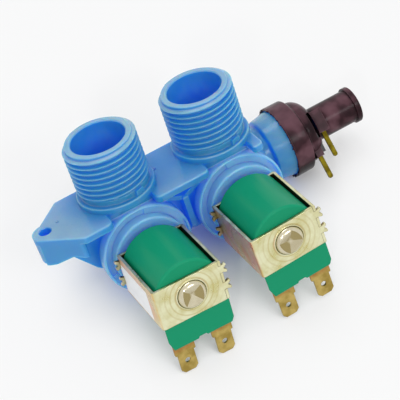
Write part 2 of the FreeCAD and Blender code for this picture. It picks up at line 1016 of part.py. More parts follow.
def armature_spring(cx):
    """Compression spring between the pole piece and the armature's pocket."""
    length = spring_pocket + stroke - spring_wire - 2.0 * seat_gap
    helix = Part.makeHelix(length / spring_turns, length, spring_r)
    corners = []
    for k in range(7):
        angle = math.radians(60.0 * k)
        corners.append(V(spring_r + spring_wire / 2.0 * math.cos(angle), 0,
                         spring_wire / 2.0 * math.sin(angle)))
    section = Part.makePolygon(corners)
    coil = Part.Wire(helix).makePipeShell([section], True, True)
    coil.rotate(V(0, 0, 0), V(1, 0, 0), -90)
    coil.translate(V(cx, pole_face + spring_wire / 2.0 + seat_gap, valve_z))
    return coil


def turn_coil(shape, cx):
    """The whole coil can turn on its guide tube, and each sits a little askew."""
    angle = left_coil_turn if cx < 0 else right_coil_turn
    shape.rotate(V(cx, 0, valve_z), V(0, 1, 0), angle)
    return shape


def yoke_angle():
    """Half of a yoke as an L of sheet, round the axis of the valve."""
    edge = yoke_half - yoke_t - slip_gap
    leg_end = yoke_rear - yoke_t - slip_gap
    sheet = plan([
        (-yoke_half, yoke_front, yoke_bend + yoke_t),
        (edge, yoke_front),
        (edge, yoke_front + yoke_t),
        (-yoke_half + yoke_t, yoke_front + yoke_t, yoke_bend),
        (-yoke_half + yoke_t, leg_end),
        (-yoke_half, leg_end),
    ], yoke_low, yoke_top)
    # the front leg ends in two teeth, each split by a chisel into two horns
    extra = []
    tooth_zs = []
    for k in (0, 1):
        top = yoke_top - tooth_high - k * (tooth_h + tooth_space)
        low = top - tooth_h
        middle = (low + top) / 2.0
        root = yoke_half + 2.0 * tooth_gap
        tip = yoke_half + tooth_out
        tooth_zs.append((low, top))
        extra.append(front_view([
            (edge - 0.5, low + tooth_gap),
            (root, low + tooth_gap, 0.3),
            (tip, low - tooth_flare, 0.4),
            (tip, low - tooth_flare + tooth_horn_w, 0.4),
            (tip - tooth_split, middle, 0.4),
            (tip, top + tooth_flare - tooth_horn_w, 0.4),
            (tip, top + tooth_flare, 0.4),
            (root, top - tooth_gap, 0.3),
            (edge - 0.5, top - tooth_gap),
        ], yoke_front, yoke_front + yoke_t))
    # the side leg ends in three fingers, which fill the spaces between teeth
    (low_a, top_a), (low_b, top_b) = tooth_zs
    spans = [(top_a + tooth_gap, yoke_top), (top_b + tooth_gap, low_a - tooth_gap),
             (yoke_low, low_b - tooth_gap)]
    for z0, z1 in spans:
        extra.append(box(-yoke_half, -yoke_half + yoke_t, leg_end - 0.5, yoke_rear, z0, z1))
    return sheet.fuse(extra)


def yoke(cx, front):
    piece = yoke_angle()
    hole_r = guide_r + yoke_hole_slack
    if front:
        piece.translate(V(cx + yoke_shift, 0, 0))
        rim = along_y([
            (yoke_front - hole_rim_h, hole_r),
            (yoke_front - hole_rim_h, hole_r + hole_rim_w, 0.15),
            (yoke_front + 0.3, hole_r + hole_rim_w + 0.2),
            (yoke_front + 0.3, hole_r),
        ], cx)
        piece = piece.fuse(rim)
        hole = rod(hole_r, (cx, yoke_front - 1.0, valve_z), (cx, yoke_front + 3.0, valve_z))
    else:
        piece.rotate(V(0, (yoke_front + yoke_rear) / 2.0, 0), V(0, 0, 1), 180)
        piece.translate(V(cx + yoke_shift, 0, 0))
        hole = rod(hole_r, (cx, yoke_rear - 3.0, valve_z), (cx, yoke_rear + 1.0, valve_z))
    return turn_coil(piece.cut(hole), cx)


def coil_case(cx):
    """Moulding over the winding, with the terminal block below the yoke."""
    drum = along_y([
        (coil_front, 0.0),
        (coil_front, coil_r, coil_round),
        (coil_rear, coil_r - 0.15, coil_round / 2.0),
        (coil_rear, 0.0),
    ], cx + yoke_shift)
    x0 = cx + coil_left
    x1 = cx + coil_right
    # the drum is flat where the yoke's walls hold it
    room = box(x0, x1, coil_front - 1.0, coil_rear + 1.0,
               valve_z - coil_r - 1.0, valve_z + coil_r + 1.0)
    drum = drum.common(room)
    stem = box(x0, x1, coil_front, coil_front + terminal_block_t,
               yoke_low - 0.6, valve_z)
    b = block_half
    top = yoke_low - loose_gap
    low = terminal_block_low
    n = block_notch_w / 2.0
    view = front_view([
        (cx - b, top),
        (cx - b, low + 4.0, 1.0),
        (cx - b + 1.3, low, 0.4),
        (cx - n - 0.5, low),
        (cx - n, low + block_notch_h, 0.3),
        (cx + n, low + block_notch_h, 0.3),
        (cx + n + 0.5, low),
        (cx + b - 1.0, low, 0.6),
        (cx + b, low + 1.8, 1.0),
        (cx + b, top),
    ], coil_front, coil_front + terminal_block_t)
    draft = terminal_block_draft
    depth = plan([
        (cx - b, coil_front),
        (cx + b, coil_front),
        (cx + b - draft, coil_front + terminal_block_t),
        (cx - b + draft, coil_front + terminal_block_t),
    ], low - 1.0, top + 1.0)
    case = drum.fuse([stem, view.common(depth)])
    room_r = winding_r + 0.3
    case = case.cut(rod(room_r, (cx, coil_front + coil_wall, valve_z),
                        (cx, coil_rear - coil_wall, valve_z)))
    case = case.cut(rod(guide_r + loose_gap, (cx, coil_front - 1.0, valve_z),
                        (cx, coil_rear + 1.0, valve_z)))
    for s in (-1, 1):
        tx = cx + s * tab_pitch / 2.0
        case = case.cut(box(tx - tab_root_w / 2.0, tx + tab_root_w / 2.0,
                            tab_y - tab_t / 2.0, tab_y + tab_t / 2.0,
                            low - 1.0, low + tab_inside))
    return turn_coil(case, cx)


def bobbin(cx):
    y0 = coil_front + coil_wall + seat_gap
    y1 = coil_rear - coil_wall - seat_gap
    inner = guide_r + loose_gap + seat_gap
    core = inner + bobbin_wall
    edge = winding_r + 0.28
    return turn_coil(along_y([
        (y0, inner),
        (y0, edge),
        (y0 + bobbin_flange, edge),
        (y0 + bobbin_flange, core),
        (y1 - bobbin_flange, core),
        (y1 - bobbin_flange, edge),
        (y1, edge),
        (y1, inner),
    ], cx), cx)


def winding(cx):
    inset = coil_wall + bobbin_flange + 2.0 * seat_gap
    core = guide_r + loose_gap + bobbin_wall + 2.0 * seat_gap
    return turn_coil(along_y([
        (coil_front + inset, core),
        (coil_front + inset, winding_r),
        (coil_rear - inset, winding_r),
        (coil_rear - inset, core),
    ], cx), cx)


def terminal(cx, side):
    """Spade tab with its wider root, which is held in the coil moulding."""
    tx = cx + side * tab_pitch / 2.0
    w = tab_w / 2.0
    rw = tab_root_w / 2.0 - seat_gap / 2.0
    top = terminal_block_low + tab_inside
    root_low = terminal_block_low - tab_root_len
    low = root_low - tab_len
    tab = front_view([
        (tx - rw, top),
        (tx - rw, root_low, 0.4),
        (tx - w, root_low),
        (tx - w, low + tab_tip),
        (tx - w + tab_tip, low),
        (tx + w - tab_tip, low),
        (tx + w, low + tab_tip),
        (tx + w, root_low),
        (tx + rw, root_low, 0.4),
        (tx + rw, top),
    ], tab_y - tab_t / 2.0 + seat_gap / 4.0, tab_y + tab_t / 2.0 - seat_gap / 4.0)
    hole_z = low + tab_hole_up
    tab = tab.cut(rod(tab_hole_r, (tx, tab_y - 2.0, hole_z), (tx, tab_y + 2.0, hole_z)))
    return turn_coil(tab, cx)


def cap_frame(shape):
    """Turn a piece drawn with the cap upright to the cap's real angle."""
    shape.rotate(V(0, manifold_y, valve_z), V(1, 0, 0), -cap_turn)
    return shape


def cap_box(x0, x1, out0, out1, z0, z1):
    """Box on the cap: out is measured to the front of the outlet's axis."""
    return cap_frame(box(x0, x1, manifold_y - out1, manifold_y - out0,
                         valve_z + z0, valve_z + z1))


def sensor_box(grow):
    x0 = block_x - slot_w - 0.3
    out0 = blade_out - 1.6
    return cap_box(x0 - grow, x0 + sensor_w + grow, out0 - grow, out0 + sensor_t + grow,
                   -sensor_low - grow, -sensor_high + grow)


def blade(which, grow):
    """Narrow flat blade of the sensor, pointed at its end."""
    places = {
        "upper": (upper_blade_x, -block_down + blade_root, -upper_blade_low),
        "lower": (lower_blade_x, -foot_low + blade_root, -lower_blade_low),
    }
    x0, top, low = places[which]
    x0 = x0 - grow
    x1 = x0 + blade_w + 2.0 * grow
    top = valve_z + top + grow
    low = valve_z + low - grow
    y0 = manifold_y - blade_out - grow
    return cap_frame(front_view([
        (x0, top),
        (x0, low + blade_point),
        (x0 + blade_point, low),
        (x1 - blade_point, low),
        (x1, low + blade_point),
        (x1, top),
    ], y0, y0 + blade_t + 2.0 * grow))


def cap_bore():
    """Water way through the cap: a funnel into the spigot's bore."""
    return [
        (cap_inner_face, 0.0),
        (cap_inner_face, cap_funnel_r),
        (cap_inner_face + cap_well_len, cap_funnel_r),
        (cap_inner_face + cap_funnel_len, tube_bore_r),
        (tube_end - 0.4, tube_bore_r),
        (tube_end + 0.1, tube_bore_r + 0.5),
        (tube_end + 0.1, 0.0),
    ]


def outlet_cap():
    """Skirted cap with a domed shoulder, the spigot and the sensor's block."""
    shell = along_x([
        (cap_rim, 0.0),
        (cap_rim, cap_out_r, 0.25),
        (cap_skirt_end, cap_out_r - 0.1, 0.9),
        (cap_skirt_end + 1.1, cap_step_r, 0.5),
        (cap_dome_end, cap_step_r, cap_dome_round),
        (cap_dome_end, tube_r),
        (tube_end - bead_w, tube_r),
        (tube_end - bead_w, bead_r, bead_round / 2.0),
        (tube_end, bead_r, bead_round),
        (tube_end, 0.0),
    ])
    inside = along_x([
        (cap_rim - 1.0, 0.0),
        (cap_rim - 1.0, cap_in_r),
        (snap_x + 0.1, cap_in_r),
        (snap_x + 0.4, cap_in_r - snap_depth + 0.1),
        (snap_end - 0.4, cap_in_r - snap_depth + 0.1),
        (snap_end - 0.1, cap_in_r),
        (cap_inner_face, cap_in_r),
        (cap_inner_face, 0.0),
    ])
    block = cap_box(block_x, block_x + block_w, 0.0, block_out, -block_down, block_up)
    foot = cap_box(foot_x, foot_x + foot_w, 2.0, foot_out, -foot_low, -block_down)
    solid = shell.fuse([block, foot])
    slot = cap_box(block_x - slot_w, block_x, slot_reach, cap_out_r,
                   -block_down - 1.2, block_up + 0.3)
    tools = [inside, along_x(cap_bore()), slot, sensor_box(seat_gap)]
    tools += [blade("upper", seat_gap), blade("lower", seat_gap)]
    for tool in tools:
        solid = solid.cut(tool)
    return solid


def outlet_seal():
    """Square ring in the groove of the neck's end face."""
    x0 = flange_end - seal_depth + seat_gap
    x1 = cap_inner_face - seat_gap
    return along_x([
        (x0, seal_r0 + seal_slack),
        (x0, seal_r1 - seal_slack),
        (x1, seal_r1 - 3.0 * seal_slack),
        (x1, seal_r0 + 3.0 * seal_slack),
    ])


export(valve_body(), "valve_body")
for cx, side in ((left, "left"), (right, "right")):
    export(inlet_screen(cx), "inlet_screen_" + side)
    export(flow_washer(cx), "flow_washer_" + side)
    export(diaphragm(cx), "diaphragm_" + side)
    export(pilot_insert(cx), "pilot_insert_" + side)
    export(bonnet(cx), "bonnet_" + side)
    export(guide_seal(cx), "guide_seal_" + side)
    export(guide_tube(cx), "guide_tube_" + side)
    export(pole_piece(cx), "pole_piece_" + side)
    export(armature(cx), "armature_" + side)
    export(armature_tip(cx), "armature_tip_" + side)
    export(armature_spring(cx), "armature_spring_" + side)
    export(yoke(cx, True), "yoke_front_" + side)
    export(yoke(cx, False), "yoke_rear_" + side)
    export(coil_case(cx), "coil_case_" + side)
    export(bobbin(cx), "bobbin_" + side)
    export(winding(cx), "winding_" + side)
    export(terminal(cx, -1), "terminal_a_" + side)
    export(terminal(cx, 1), "terminal_b_" + side)
export(outlet_cap(), "outlet_cap")
export(outlet_seal(), "outlet_seal")
export(sensor_box(0.0), "sensor_body")
export(blade("upper", 0.0), "sensor_blade_a")
export(blade("lower", 0.0), "sensor_blade_b")
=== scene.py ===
# %% [markdown]
# # A washing machine inlet valve, dressed in Blender
# The real object is a blue moulded valve with two threaded hose inlets, two
# solenoid coils in folded steel yokes, spade terminals and a dark outlet cap.
# Its hard parts come from CAD at their true size, so this lesson adds light,
# finishes and the few thin things that CAD leaves out: the label, the pressed
# ends of the guide tubes, the weld flash round the cap and the small marks that
# moulding leaves.

import math

import bmesh
import bpy
from mathutils import Matrix, Vector, noise


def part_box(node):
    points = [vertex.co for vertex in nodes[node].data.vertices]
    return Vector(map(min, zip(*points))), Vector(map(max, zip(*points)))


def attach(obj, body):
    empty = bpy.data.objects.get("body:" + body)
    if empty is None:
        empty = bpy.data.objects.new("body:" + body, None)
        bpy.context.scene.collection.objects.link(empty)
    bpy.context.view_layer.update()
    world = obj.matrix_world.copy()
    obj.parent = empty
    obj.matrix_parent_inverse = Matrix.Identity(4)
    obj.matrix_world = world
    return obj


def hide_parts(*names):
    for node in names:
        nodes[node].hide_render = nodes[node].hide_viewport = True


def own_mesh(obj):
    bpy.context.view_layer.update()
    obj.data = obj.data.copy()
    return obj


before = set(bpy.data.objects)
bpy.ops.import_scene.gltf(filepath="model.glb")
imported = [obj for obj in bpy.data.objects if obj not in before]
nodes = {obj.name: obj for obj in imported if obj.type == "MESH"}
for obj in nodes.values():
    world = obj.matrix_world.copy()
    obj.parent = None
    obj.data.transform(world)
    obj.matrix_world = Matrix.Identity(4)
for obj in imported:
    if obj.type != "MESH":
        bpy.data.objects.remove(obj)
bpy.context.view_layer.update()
scene = bpy.context.scene
MM = 0.001
print("nodes loaded:", len(nodes))


# %% [markdown]
# The camera stands where the photographer stood: in front of the solenoids,
# to the left and well above. The three directions below are the camera's right,
# up and back in the valve's own frame. They were worked out from the thread
# circles and the row of crests, whose real sizes are known.

# %% Camera
camera_right = Vector((0.856999, -0.439041, -0.269808))
camera_up = Vector((0.461735, 0.421747, 0.780340))
camera_back = Vector((-0.228810, -0.793330, 0.564157))
camera_place = Vector((-134.94, -495.92, 331.61)) * MM

camera = bpy.data.objects.new("camera", bpy.data.cameras.new("camera"))
camera.data.sensor_width = 36.0
camera.data.lens = 156.568
camera.data.clip_start = 0.01
camera.data.clip_end = 20.0
turn = Matrix((camera_right, camera_up, camera_back)).transposed().to_4x4()
camera.matrix_world = Matrix.Translation(camera_place) @ turn
scene.collection.objects.link(camera)
scene.camera = camera
print("camera", round(camera_place.length, 3), "m from the valve's origin")


# %% [markdown]
# Every finish is a node tree. Small helpers keep the trees readable: one makes a
# material with its Principled shader, one adds a node and sets its sockets, and
# one joins two sockets. Patterns read Object coordinates, which are metres in
# the valve's frame, so nothing slides when a part moves.

# %% Helpers for node trees
def finish_of(name):
    material = bpy.data.materials.new(name)
    material.use_nodes = True
    tree = material.node_tree
    tree.nodes.clear()
    shader = tree.nodes.new("ShaderNodeBsdfPrincipled")
    out = tree.nodes.new("ShaderNodeOutputMaterial")
    tree.links.new(shader.outputs["BSDF"], out.inputs["Surface"])
    return material, tree, shader


def add(tree, kind, settings=None, **sockets):
    node = tree.nodes.new("ShaderNode" + kind)
    for key, value in (settings or {}).items():
        setattr(node, key, value)
    for key, value in sockets.items():
        node.inputs[key.replace("_", " ")].default_value = value
    return node


def join(tree, start, start_socket, end, end_socket):
    tree.links.new(start.outputs[start_socket], end.inputs[end_socket])


def place(tree):
    return add(tree, "TexCoord")


def mixed(tree, factor, factor_socket, first, second):
    """A colour between two others; each is a colour or a (node, socket) pair."""
    node = add(tree, "Mix", {"data_type": "RGBA"})
    join(tree, factor, factor_socket, node, 0)
    for socket, value in ((6, first), (7, second)):
        if isinstance(value[0], bpy.types.Node):
            join(tree, value[0], value[1], node, socket)
        else:
            node.inputs[socket].default_value = (*value, 1.0)
    return node


def ramp(tree, source, socket, stops):
    """A grey ramp with stops of (position, value)."""
    node = add(tree, "ValToRGB")
    points = node.color_ramp.elements
    while len(points) < len(stops):
        points.new(0.5)
    for point, (position, value) in zip(points, stops):
        point.position = position
        point.color = (value, value, value, 1.0)
    join(tree, source, socket, node, "Fac")
    return node


def background_rays(tree):
    """1 for the rays that show the background: camera, mirror and glass rays."""
    path = add(tree, "LightPath")
    mirror = add(tree, "Math", {"operation": "ADD"})
    every = add(tree, "Math", {"operation": "ADD", "use_clamp": True})
    join(tree, path, "Is Camera Ray", mirror, 0)
    join(tree, path, "Is Glossy Ray", mirror, 1)
    join(tree, mirror, "Value", every, 0)
    join(tree, path, "Is Transmission Ray", every, 1)
    return every


print("helpers ready")


# %% [markdown]
# Three effects are shared, so each is a group that is built once. The first is
# the fine grain of a moulded or plated surface: noise at two sizes, mixed into a
# height for a Bump node, with a slow cloud that varies colour and gloss.

# %% Group: surface grain
def new_group(name, inputs, outputs):
    group = bpy.data.node_groups.new(name, "ShaderNodeTree")
    for label, kind, value in inputs:
        socket = group.interface.new_socket(label, in_out="INPUT", socket_type=kind)
        socket.default_value = value
    for label, kind in outputs:
        group.interface.new_socket(label, in_out="OUTPUT", socket_type=kind)
    start = group.nodes.new("NodeGroupInput")
    end = group.nodes.new("NodeGroupOutput")
    return group, start, end


grain_group, g_in, g_out = new_group(
    "surface_grain",
    [("Fine", "NodeSocketFloat", 2500.0), ("Coarse", "NodeSocketFloat", 120.0)],
    [("Height", "NodeSocketFloat"), ("Cloud", "NodeSocketFloat")],
)
spot = place(grain_group)
fine = add(grain_group, "TexNoise", Detail=2.0, Roughness=0.6)
coarse = add(grain_group, "TexNoise", Detail=4.0, Roughness=0.55)
blend = add(grain_group, "Math", {"operation": "MULTIPLY_ADD"})
join(grain_group, spot, "Object", fine, "Vector")
join(grain_group, spot, "Object", coarse, "Vector")
join(grain_group, g_in, "Fine", fine, "Scale")
join(grain_group, g_in, "Coarse", coarse, "Scale")
join(grain_group, fine, "Fac", blend, 0)
blend.inputs[1].default_value = 0.35
join(grain_group, coarse, "Fac", blend, 2)
join(grain_group, blend, "Value", g_out, "Height")
join(grain_group, coarse, "Fac", g_out, "Cloud")
print("group", grain_group.name)


# %% [markdown]
# Real edges are never sharp. The Bevel node rounds the shading of every edge
# without touching the mesh, and the difference between the rounded and the true
# normal marks where the edges are, so that they can be lighter or more worn.

# %% Group: soft edges
edge_group, e_in, e_out = new_group(
    "soft_edges",
    [("Radius", "NodeSocketFloat", 0.0003), ("Gain", "NodeSocketFloat", 6.0)],
    [("Edge", "NodeSocketFloat"), ("Normal", "NodeSocketVector")],
)
round_off = add(edge_group, "Bevel", {"samples": 6})
true_face = add(edge_group, "NewGeometry")
agree = add(edge_group, "VectorMath", {"operation": "DOT_PRODUCT"})
differ = add(edge_group, "Math", {"operation": "SUBTRACT"})
strong = add(edge_group, "Math", {"operation": "MULTIPLY", "use_clamp": True})
join(edge_group, e_in, "Radius", round_off, "Radius")
join(edge_group, round_off, "Normal", agree, 0)
join(edge_group, true_face, "Normal", agree, 1)
differ.inputs[0].default_value = 1.0
join(edge_group, agree, "Value", differ, 1)
join(edge_group, differ, "Value", strong, 0)
join(edge_group, e_in, "Gain", strong, 1)
join(edge_group, strong, "Value", e_out, "Edge")
join(edge_group, round_off, "Normal", e_out, "Normal")
print("group", edge_group.name)


# %% [markdown]
# Ambient occlusion measures how open a place is, and the group turns it into a
# mask. The mask paints shade and light into colour: deeper in the corners, paler
# on open faces.

# %% Group: open and hidden places
open_group, o_in, o_out = new_group(
    "open_places",
    [("Reach", "NodeSocketFloat", 0.02), ("Low", "NodeSocketFloat", 0.05),
     ("Middle", "NodeSocketFloat", 0.55), ("High", "NodeSocketFloat", 1.0)],
    [("Hidden", "NodeSocketFloat"), ("Open", "NodeSocketFloat")],
)
shade = add(open_group, "AmbientOcclusion", {"samples": 8})
low_half = add(open_group, "MapRange", {"interpolation_type": "SMOOTHSTEP"})
high_half = add(open_group, "MapRange", {"interpolation_type": "SMOOTHSTEP"})
join(open_group, o_in, "Reach", shade, "Distance")
for half_range, start, end, label in ((low_half, "Low", "Middle", "Hidden"),
                                      (high_half, "Middle", "High", "Open")):
    join(open_group, shade, "AO", half_range, "Value")
    join(open_group, o_in, start, half_range, "From Min")
    join(open_group, o_in, end, half_range, "From Max")
    join(open_group, half_range, "Result", o_out, label)
print("group", open_group.name)


def use_group(tree, group, **sockets):
    node = tree.nodes.new("ShaderNodeGroup")
    node.node_tree = group
    for key, value in sockets.items():
        node.inputs[key].default_value = value
    return node


def bumped(tree, shader, grain, edges, strength, distance=0.00005):
    """Grain on top of the softened edges, joined to the shader's normal."""
    bump = add(tree, "Bump", Strength=strength, Distance=distance)
    join(tree, grain, "Height", bump, "Height")
    join(tree, edges, "Normal", bump, "Normal")
    join(tree, bump, "Normal", shader, "Normal")
    return bump


# %% [markdown]
# The body is satin blue plastic that lets some light through. Its colour holds
# painted shade and light: a saturated deep blue in the corners, and a pale grey
# blue on open faces that is partly dust and partly painted light. Edges that stick
# out are lighter still, partly wear and partly painted highlight. Subsurface light
# softens the shadows, hidden places get a faint painted glow and the chambers have
# painted brighter rims. The same recipe makes the green, brown and pale mouldings;
# the dark outlet cap also has blotches of painted highlight and painted dark
# reflection.

# %% Blue moulding
valve_axis_x = (-0.0192, 0.0192)
valve_axis_z = -0.0188
chamber_reach = 0.0175
rim_behind = -0.0085
rim_front = -0.0125
rim_share = 0.6


def moulding(name, deep, middle, pale, roughness, subsurface=0.0, reach=0.02, haze_and_light=0.7,
             shine=0.5, edge_colour=None, glow=None, rim_light_colour=None, reflection_blotches=0.0,
             corners=0.45):
    material, tree, shader = finish_of(name)
    grain = use_group(tree, grain_group, Fine=1800.0, Coarse=90.0)
    edges = use_group(tree, edge_group, Radius=0.00035, Gain=5.0)
    places = use_group(tree, open_group, Reach=reach, Low=0.0, Middle=corners, High=0.95)
    # painted shade: the deep colour fills the corners, the middle colour the open places
    corner_shaded = mixed(tree, places, "Hidden", deep, middle)
    cloud = ramp(tree, grain, "Cloud", [(0.3, 0.65 * haze_and_light), (0.75, haze_and_light)])
    # pale haze on open faces, partly dust and partly painted light from above,
    # stronger on faces that look up than on those that look sideways
    facing = add(tree, "NewGeometry")
    upward = add(tree, "VectorMath", {"operation": "DOT_PRODUCT"})
    join(tree, facing, "Normal", upward, 0)
    upward.inputs[1].default_value = (0.0, 0.0, 1.0)
    upward_haze_and_light = ramp(tree, upward, "Value", [(0.1, 0.12), (0.9, 1.0)])
    part = add(tree, "Math", {"operation": "MULTIPLY"})
    join(tree, upward_haze_and_light, "Color", part, 0)
    join(tree, cloud, "Color", part, 1)
    open_haze_and_light = add(tree, "Math", {"operation": "MULTIPLY"})
    join(tree, places, "Open", open_haze_and_light, 0)
    join(tree, part, "Value", open_haze_and_light, 1)
    hazed_and_lit = mixed(tree, open_haze_and_light, "Value", (corner_shaded, "Result"), pale)
    if reflection_blotches:
        # blotches stand in for mottled reflections: painted dark reflections first,
        # then painted highlights where the noise is high
        spot = place(tree)
        blotch = add(tree, "TexNoise", Scale=130.0, Detail=2.0, Roughness=0.5)
        join(tree, spot, "Object", blotch, "Vector")
        dark = ramp(tree, blotch, "Fac", [(0.36, reflection_blotches), (0.56, 0.0)])
        hazed_and_lit = mixed(tree, dark, "Color", (hazed_and_lit, "Result"), deep)
        light = ramp(tree, blotch, "Fac", [(0.52, 0.0), (0.72, 0.7 * reflection_blotches)])
        hazed_and_lit = mixed(tree, light, "Color", (hazed_and_lit, "Result"), pale)
    if rim_light_colour:
        # painted light: the thin rims at the front of the chambers are coloured brighter
        spot = place(tree)
        axes = add(tree, "SeparateXYZ")
        join(tree, spot, "Object", axes, "Vector")
        front = add(tree, "MapRange", {"interpolation_type": "SMOOTHSTEP"})
        join(tree, axes, "Y", front, "Value")
        for socket, value in (("From Min", rim_behind), ("From Max", rim_front),
                              ("To Max", rim_share)):
            front.inputs[socket].default_value = value
        either_side = add(tree, "Math", {"operation": "ABSOLUTE"})
        sideways = add(tree, "Math", {"operation": "SUBTRACT"})
        upwards = add(tree, "Math", {"operation": "SUBTRACT"})
        from_axis = add(tree, "CombineXYZ")
        away = add(tree, "VectorMath", {"operation": "LENGTH"})
        inside = add(tree, "Math", {"operation": "LESS_THAN"})
        painted_rim_light = add(tree, "Math", {"operation": "MULTIPLY"})
        join(tree, axes, "X", either_side, 0)
        join(tree, either_side, "Value", sideways, 0)
        sideways.inputs[1].default_value = valve_axis_x[1]
        join(tree, axes, "Z", upwards, 0)
        upwards.inputs[1].default_value = valve_axis_z
        join(tree, sideways, "Value", from_axis, "X")
        join(tree, upwards, "Value", from_axis, "Z")
        join(tree, from_axis, "Vector", away, 0)
        join(tree, away, "Value", inside, 0)
        inside.inputs[1].default_value = chamber_reach
        join(tree, front, "Result", painted_rim_light, 0)
        join(tree, inside, "Value", painted_rim_light, 1)
        hazed_and_lit = mixed(tree, painted_rim_light, "Value", (hazed_and_lit, "Result"), rim_light_colour)
    # edges that stick out are paler, partly wear and partly painted highlight, so inner
    # corners keep their colour
    edge_wear_and_highlight = add(tree, "Math", {"operation": "MULTIPLY"})
    join(tree, edges, "Edge", edge_wear_and_highlight, 0)
    join(tree, places, "Open", edge_wear_and_highlight, 1)
    edged = mixed(tree, edge_wear_and_highlight, "Value", (hazed_and_lit, "Result"), edge_colour or pale)
    join(tree, edged, "Result", shader, "Base Color")
    if glow:
        # painted glow: hidden places give off a faint light of their own
        painted_glow = mixed(tree, places, "Hidden", glow, (0.0, 0.0, 0.0))
        join(tree, painted_glow, "Result", shader, "Emission Color")
        shader.inputs["Emission Strength"].default_value = 1.0
    gloss = ramp(tree, grain, "Cloud", [(0.3, roughness - 0.04), (0.8, roughness + 0.08)])
    join(tree, gloss, "Color", shader, "Roughness")
    shader.inputs["IOR"].default_value = 1.5
    shader.inputs["Specular IOR Level"].default_value = shine
    if subsurface:
        shader.inputs["Subsurface Weight"].default_value = subsurface
        shader.inputs["Subsurface Radius"].default_value = (0.08, 0.4, 1.0)
        shader.inputs["Subsurface Scale"].default_value = 0.010
    bumped(tree, shader, grain, edges, 0.15)
    return material


# blue: painted shade in corners, painted light on open faces and rims, and a painted glow
blue_plastic = moulding(
    "blue_moulding", (0.018, 0.23, 0.67), (0.038, 0.25, 0.50), (0.34, 0.47, 0.49), 0.16,
    subsurface=0.9, haze_and_light=0.75, shine=0.35, edge_colour=(0.23, 0.42, 0.54),
    glow=(0.003, 0.022, 0.15), rim_light_colour=(0.27, 0.52, 0.80), corners=0.62)
green_plastic = moulding(
    "green_moulding", (0.001, 0.11, 0.050), (0.003, 0.245, 0.115), (0.008, 0.285, 0.145),
    0.32, shine=0.13)
brown_plastic = moulding(
    "brown_moulding", (0.002, 0.0004, 0.001), (0.020, 0.004, 0.007), (0.17, 0.08, 0.10),
    0.22, haze_and_light=0.55, shine=0.12, reflection_blotches=0.8)
white_plastic = moulding(
    "white_moulding", (0.45, 0.45, 0.42), (0.78, 0.78, 0.74), (0.85, 0.85, 0.82), 0.4)
bobbin_plastic = moulding(
    "bobbin_moulding", (0.3, 0.28, 0.22), (0.62, 0.59, 0.5), (0.7, 0.68, 0.6), 0.45)
print("mouldings:", blue_plastic.name, green_plastic.name, brown_plastic.name)


# %% [markdown]
# The yokes are steel with a yellow zinc plating. Passivated zinc is patchy: pale
# straw on the front, with faint rings where the hole was pressed, and purple and
# brown stains on the sides. A noise picks the patches, the face's direction says
# where the stains are strong, and rings round each coil's axis add the halos.

# %% Zinc plated steel
halo_step = 1.9 * MM
halo_strong_r = 6.5 * MM
halo_weak_r = 13.5 * MM


def off_axis(tree, centre_x):
    """The way from the coil's axis straight out to a point, in metres."""
    spot = place(tree)
    shift = add(tree, "Mapping")
    shift.inputs["Location"].default_value = (-centre_x, 0.0, -valve_axis_z)
    flat = add(tree, "VectorMath", {"operation": "MULTIPLY"})
    flat.inputs[1].default_value = (1.0, 0.0, 1.0)
    join(tree, spot, "Object", shift, "Vector")
    join(tree, shift, "Vector", flat, 0)
    return flat


